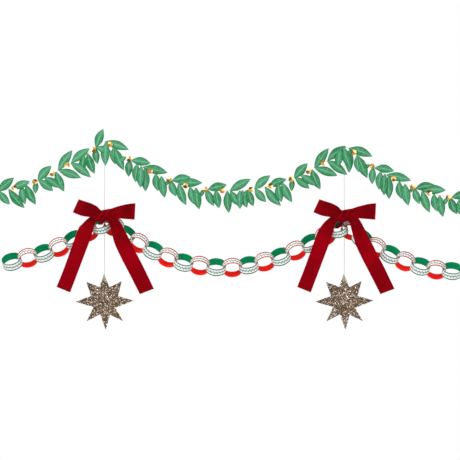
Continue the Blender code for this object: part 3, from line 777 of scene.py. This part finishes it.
def knot_wrap(shape, layers, shift):
    """The ribbon crushed round the middle of the bow: a slanting band with creases along it."""
    across_layer, pile_and_painted_light_layer = layers
    around, columns = 48, 36
    grid = []
    for column in range(columns + 1):
        # From one end to the other, a little past both, where it tucks in
        s = -0.10 + 1.20 * column / columns
        tuck = max(1 - abs(2 * s - 1) ** 6 * 0.30, 0.30)
        line = []
        for step in range(around):
            turn = math.tau * step / around
            # Three creases run round it and wander, and the cloth between them is rough
            bend = 2.1 * s + 0.16 * math.sin(turn) + 0.05 * math.sin(9 * s)
            crease = max(1 - 2 * abs(math.sin(math.pi * bend)) ** 0.6, 0.0)
            rough = noise.noise(Vector((s * 5, math.cos(turn) * 1.6, math.sin(turn) * 1.6)))
            reach = tuck * (1 - 0.13 * crease + 0.09 * rough)
            # The band slants: its top runs from -14 to 13 mm across, and its underside from -30 to 3 mm
            up = math.cos(turn)
            left, right = -22 + 8 * up, 8 + 5 * up
            across = (left + (right - left) * s) * MM
            height = KNOT_HALF_HEIGHT * up * (0.5 + 0.5 * reach) + KNOT_CLIMB * across * max(up, 0)
            depth = -KNOT_HALF_DEPTH * math.sin(turn) * reach
            vert = shape.verts.new(KNOT + Vector((across + shift, depth, height - KNOT_DROP)))
            vert[across_layer] = max(min(2 * s - 1, 0.8), -0.8)
            # The pile is painted darker in the creases, as painted shade, and gets a random tone where the
            # cloth is rough
            vert[pile_and_painted_light_layer] = 0.16 - 0.22 * crease ** 1.5 + 0.30 * rough
            line.append(vert)
        grid.append(line)
    for first, second in zip(grid, grid[1:]):
        for step in range(around):
            after = (step + 1) % around
            shape.faces.new((first[step], first[after], second[after], second[step]))


def velvet_bow(label, shift, tie_low, tie_aside, cloth):
    """One bow: two loops with painted highlights along their low rims, two tails, the tie and the knot, of
    one ribbon.
    """
    shape = bmesh.new()
    layers = [shape.verts.layers.float.new(name) for name in ("across", "pile_and_painted_light")]
    # The loops get a painted highlight along their low rims, the tails none
    for table, rim in ((LEFT_LOOP, 0.45), (RIGHT_LOOP, 0.30), (LEFT_TAIL, 0.0), (RIGHT_TAIL, 0.0)):
        ribbon_run(shape, layers, stations(table, shift), rim)
    ribbon_run(shape, layers, tie_rows(shift, tie_low, tie_aside), folds=2.0, columns=10)
    knot_wrap(shape, layers, shift)
    piece = thickened(f"velvet_bow_{label}", shape, RIBBON, 60, cloth)
    keep(piece, f"ribbon_bow_{label}")
    return piece


# Stars
def star_outline(shift):
    """The corners of a star's outline."""
    turns = [(math.radians(degrees), reach * MM) for degrees, reach in STAR_OUTLINE]
    middle = Vector((shift + STAR_ASIDE, 0, STAR_CENTRE))
    return [middle + Vector((reach * math.cos(turn), 0, reach * math.sin(turn))) for turn, reach in turns]


def glitter_tree():
    """Scatters glitter flakes over a shape, each tipped its own way and with its own tint."""
    tree, given = growth_tree("Glitter flakes", (
        ("Flake", "Float", FLAKE), ("Flakes per Square Metre", "Float", FLAKES_PER_SQUARE_METRE),
        ("Tip", "Float", FLAKE_TIP), ("Bare Above", "Float", NO_FLAKES), ("Seed", "Int", 7)))
    spread = add(tree, "GeometryNodeDistributePointsOnFaces", {
        "Mesh": given["Geometry"], "Density": given["Flakes per Square Metre"], "Seed": given["Seed"]})
    place = add(tree, "GeometryNodeInputPosition")
    height = add(tree, "ShaderNodeSeparateXYZ", {0: place}).outputs["Z"]
    above = add(tree, "ShaderNodeMath", {0: height, 1: given["Bare Above"]}, operation="GREATER_THAN")
    kept = add(tree, "GeometryNodeDeleteGeometry", {"Geometry": spread.outputs["Points"], "Selection": above})
    # Flakes are six-sided bits of film in mixed sizes, each tipped on the card and turned its own way
    flake = add(tree, "GeometryNodeMeshCircle", {"Vertices": 6, "Radius": given["Flake"]}, fill_type="NGON")
    low = add(tree, "ShaderNodeMath", {0: given["Tip"], 1: -1.0}, operation="MULTIPLY")
    tips = [add(tree, "FunctionNodeRandomValue", {2: low, 3: given["Tip"], "Seed": seed}).outputs[1]
            for seed in (1, 2)]
    spin = add(tree, "FunctionNodeRandomValue", {2: 0.0, 3: math.tau, "Seed": 3}).outputs[1]
    tipped = add(tree, "ShaderNodeCombineXYZ", {"X": tips[0], "Y": tips[1], "Z": spin})
    turn = add(tree, "FunctionNodeRotateRotation",
               {"Rotation": spread.outputs["Rotation"], "Rotate By": tipped},
               rotation_space="LOCAL")
    size = add(tree, "FunctionNodeRandomValue", {2: 0.55, 3: 1.35, "Seed": 4}).outputs[1]
    flakes = add(tree, "GeometryNodeInstanceOnPoints",
                 {"Points": kept, "Instance": flake, "Rotation": turn, "Scale": size})
    # A flake's tint is partly its own and partly shared with the others in a patch of 2.3 mm
    own = add(tree, "FunctionNodeRandomValue", {2: -0.22, 3: 0.22, "Seed": 5}).outputs[1]
    cells = add(tree, "ShaderNodeTexVoronoi", {"Vector": place, "Scale": repeats(2.3256)}).outputs["Color"]
    bright = add(tree, "ShaderNodeSeparateXYZ", {0: cells}).outputs["X"]
    shared = add(tree, "ShaderNodeMath", {0: bright, 1: 1.35, 2: -0.16}, operation="MULTIPLY_ADD")
    tint = add(tree, "ShaderNodeMath", {0: own, 1: shared}, operation="ADD", use_clamp=True)
    flakes = add(tree, "GeometryNodeStoreNamedAttribute", {"Geometry": flakes, "Name": "tint", "Value": tint},
                 domain="INSTANCE")
    flakes = add(tree, "GeometryNodeRealizeInstances", {"Geometry": flakes})
    flakes = add(tree, "GeometryNodeSetMaterial", {"Geometry": flakes, "Material": given["Finish"]})
    add(tree, "NodeGroupOutput", {"Geometry": flakes})
    return tree


def glitter_star(label, shift, card, flakes, tree):
    """One star of card before its thread, and the flakes on it."""
    shape = bmesh.new()
    front_y = -THREAD / 2 - STAR_GAP - STAR_CARD
    rim = star_outline(shift)
    middle = Vector((shift, 0, STAR_CENTRE))
    for depth in (front_y, front_y + STAR_CARD):
        hub = shape.verts.new(middle + Vector((0, depth, 0)))
        ring = [shape.verts.new(point + Vector((0, depth, 0))) for point in rim]
        for start, stop in zip(ring, ring[1:] + ring[:1]):
            shape.faces.new((hub, start, stop))
    shape.verts.ensure_lookup_table()
    count = len(rim)
    for step in range(count):
        after = (step + 1) % count
        shape.faces.new((shape.verts[1 + step], shape.verts[1 + after],
                         shape.verts[count + 2 + after], shape.verts[count + 2 + step]))
    mesh = mesh_of(shape, "star")
    body = show(f"star_card_{label}", mesh, card)
    keep(body, f"glitter_star_{label}")
    sparkle = show(f"glitter_flakes_{label}", grown("flakes", mesh.copy(), tree, flakes))
    keep(sparkle)


# The photograph's camera, and the white studio
def seen_ray(tree):
    """One where a surface is looked at, straight or in a reflection, and zero where it only lights others."""
    path = add(tree, "ShaderNodeLightPath").outputs
    straight = add(tree, "ShaderNodeMath", {0: path["Is Camera Ray"], 1: path["Is Transmission Ray"]},
                   operation="MAXIMUM")
    return add(tree, "ShaderNodeMath", {0: straight, 1: path["Is Glossy Ray"]}, operation="MAXIMUM")


def studio():
    """The camera square on, the white room, two lamps and the floor."""
    scene = bpy.context.scene
    scene.view_settings.view_transform = "Standard"
    data = bpy.data.cameras.new("camera")
    data.sensor_width = SENSOR
    data.lens = SENSOR * VIEW_DISTANCE / VIEW_WIDTH
    data.clip_end = 60.0
    camera = bpy.data.objects.new("camera", data)
    camera.location = VIEW_MIDDLE - Vector((0, VIEW_DISTANCE, 0))
    camera.rotation_euler = Euler((math.pi / 2, 0, 0))
    scene.collection.objects.link(camera)
    scene.camera = camera
    world = bpy.data.worlds.new("studio")
    scene.world = world
    tree = emptied(world)
    room = add(tree, "ShaderNodeBackground", {"Color": colour(0xFFFFFF), "Strength": ROOM_LIGHT})
    white = add(tree, "ShaderNodeBackground", {"Color": colour(0xFFFFFF), "Strength": 1.0})
    both = add(tree, "ShaderNodeMixShader", {0: seen_ray(tree), 1: room, 2: white})
    add(tree, "ShaderNodeOutputWorld", {"Surface": both})
    for name, spot, size, power in LAMPS:
        lamp = bpy.data.lights.new(name, "AREA")
        lamp.size = size
        lamp.energy = power
        made = bpy.data.objects.new(name, lamp)
        made.location = spot
        made.rotation_euler = (VIEW_MIDDLE - Vector(spot)).to_track_quat("-Z", "Y").to_euler()
        scene.collection.objects.link(made)
    mesh = bpy.data.meshes.new("floor")
    corners = ((-1, -1), (1, -1), (1, 1), (-1, 1))
    mesh.from_pydata([(x * FLOOR_HALF, y * FLOOR_HALF, FLOOR_LEVEL) for x, y in corners], [], [(0, 1, 2, 3)])
    made, tree = started("white_floor")
    paint = add(tree, "ShaderNodeBsdfPrincipled", {"Base Color": colour(0xF2F2F2), "Roughness": 0.9})
    pale = add(tree, "ShaderNodeEmission", {"Color": colour(0xFFFFFF), "Strength": 1.0})
    share = add(tree, "ShaderNodeMath", {0: seen_ray(tree), 1: FLOOR_GLOW}, operation="MULTIPLY")
    both = add(tree, "ShaderNodeMixShader", {0: share, 1: paint, 2: pale})
    add(tree, "ShaderNodeOutputMaterial", {"Surface": both})
    show("floor", mesh, made)


studio()
links_tree = rolled_links_tree()
green_card = printed_paper("green_border_card", colour(0x1C7450), GREEN_HALF_LINE,
                           colour(0x009A62), colour(0x008F5A))
paper_links("green", 1, links_tree, green_card)
red_card = printed_paper("red_border_card", colour(0xB04642), RED_HALF_LINE,
                         colour(0xFF2A1E), colour(0xFC221A))
paper_links("red", 0, links_tree, red_card)

cloth = velvet("viscose_velvet")
for bow in [velvet_bow(*row, cloth) for row in BOWS]:
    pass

cord_line = cord_points()
cord_finish = twisted("cotton_cord", colour(0xE8E2CF), colour(0xC9C0A6), 0.698)
leaf_cord = round_cord("cotton_cord", cord_line, CORD, cord_finish)
keep(leaf_cord, "leaf_cord")

strand = [point for point in cord_line if CORD_ROUTE[0][0] <= point.x * 1000 <= CORD_ROUTE[-1][0]]
thread_finish = twisted("polyester_thread", colour(0xBEBEB4), colour(0xA0A096), 0.419)
card = star_card("star_card")
flakes = glitter("polyester_glitter")
flake_tree = glitter_tree()
for label, shift in (("left", 0.0), ("right", BOW_PITCH)):
    glitter_star(label, shift, card, flakes, flake_tree)
    top = cord_at(shift, strand).z - CORD / 2 - THREAD_GAP
    drop = (THREAD_END - top) / (THREAD_POINTS - 1)
    line = [Vector((shift, 0, top + drop * step)) for step in range(THREAD_POINTS)]
    thread = round_cord(f"thread_{label}", line, THREAD, thread_finish)
    keep(thread, f"star_thread_{label}")

# The 22 sprigs from left to right: the same rise and fall come twice, with more leaves at the left end
first_rise = (RISE[0][0], START_LEAVES + RISE[0][1])
first_fall = (LEFT_PEAK[0] + FALL[0][0], LEFT_PEAK[1] + FALL[0][1])
sprigs = [(RISE_STARTS[0], *item) for item in (first_rise, *RISE[1:])]
sprigs += [(FALL_STARTS[0], *item) for item in (first_fall, *FALL[1:], *TROUGH)]
sprigs += [(RISE_STARTS[1], *item) for item in RISE]
sprigs += [(FALL_STARTS[1], *item) for item in FALL]
paper = leaf_paper("dyed_leaf_paper")
foil = gold_foil("gold_foil")
dice = random.Random(12)
for count, (start, discs, leaves) in enumerate(sprigs, 1):
    leaf_sprig(f"paper_leaves_{count:02d}", f"leaf_sprig_{count:02d}", start, leaves, strand, paper, dice)
spots = [cord_at(start + x * MM, strand) + Vector((0, DISC_DEPTH, 0))
         for start, discs, _ in sprigs for x in discs]
foil_discs(spots, foil, dice)

bpy.context.view_layer.update()
